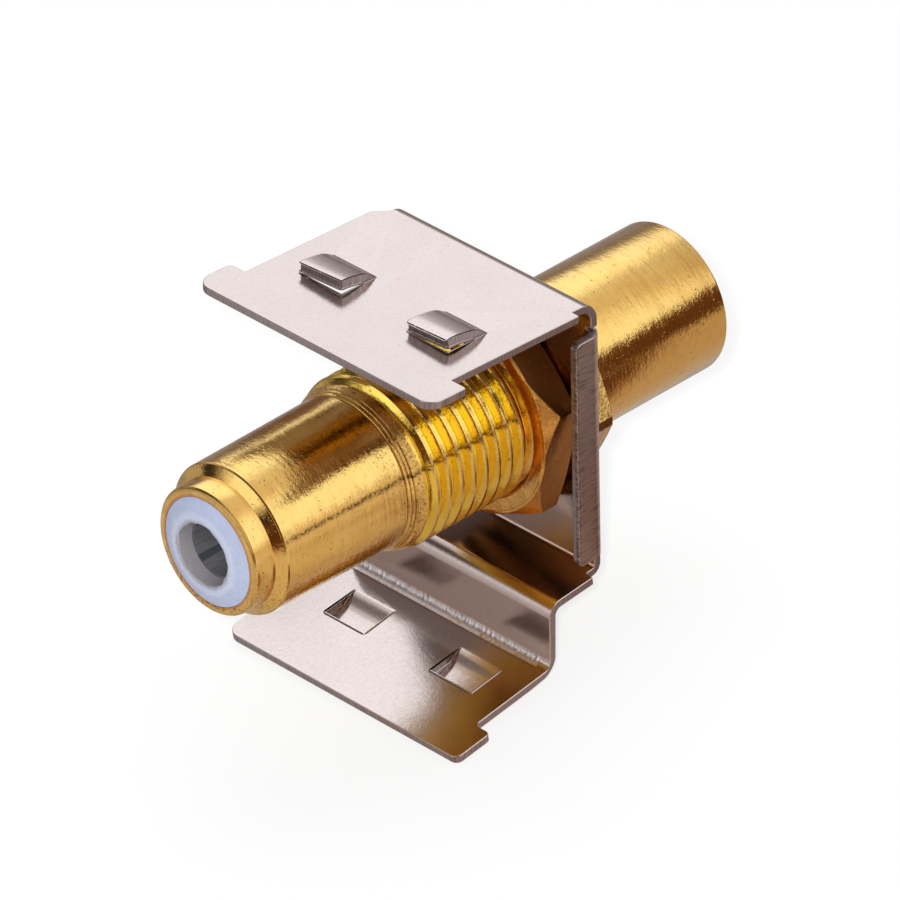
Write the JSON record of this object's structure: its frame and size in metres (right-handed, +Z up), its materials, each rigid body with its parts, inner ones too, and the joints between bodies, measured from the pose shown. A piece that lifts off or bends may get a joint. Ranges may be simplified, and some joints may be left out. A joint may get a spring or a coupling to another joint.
{
  "type": "rca keystone coupler",
  "caption": "Double-ended phono coupler in a folded keystone bracket, with a threaded neck, clamping nut and insulated centre sockets.",
  "frame": {"origin": "on the coupler's axis, in the outer face of the bracket's plate", "axes": "+Y along the coupler's axis, out through the plate to the plain rear barrel; the nose points to -Y; +Z up, towards the straight leaf; +X to the right seen from the nose"},
  "size_m": [0.0166, 0.0329, 0.0224],
  "materials": {
    "plated_steel": "satin nickel plate on folded sheet steel, with sheared edges",
    "gold_plate": "bright gold flash on turned brass, with fine turning marks",
    "gold_plate_nut": "gold flash on a turned hexagonal nut, with coarse marks on its chamfer",
    "white_plastic": "cool white translucent plastic, lightly turned",
    "tin_plate": "dull tin plate on a slit contact"
  },
  "bodies": {
    "root": {"bracket": "plated_steel", "coupler_body": "gold_plate", "hex_nut": "gold_plate_nut", "front_insulator": "white_plastic", "rear_insulator": "white_plastic", "centre_contact": "tin_plate"}
  },
  "joints": []
}
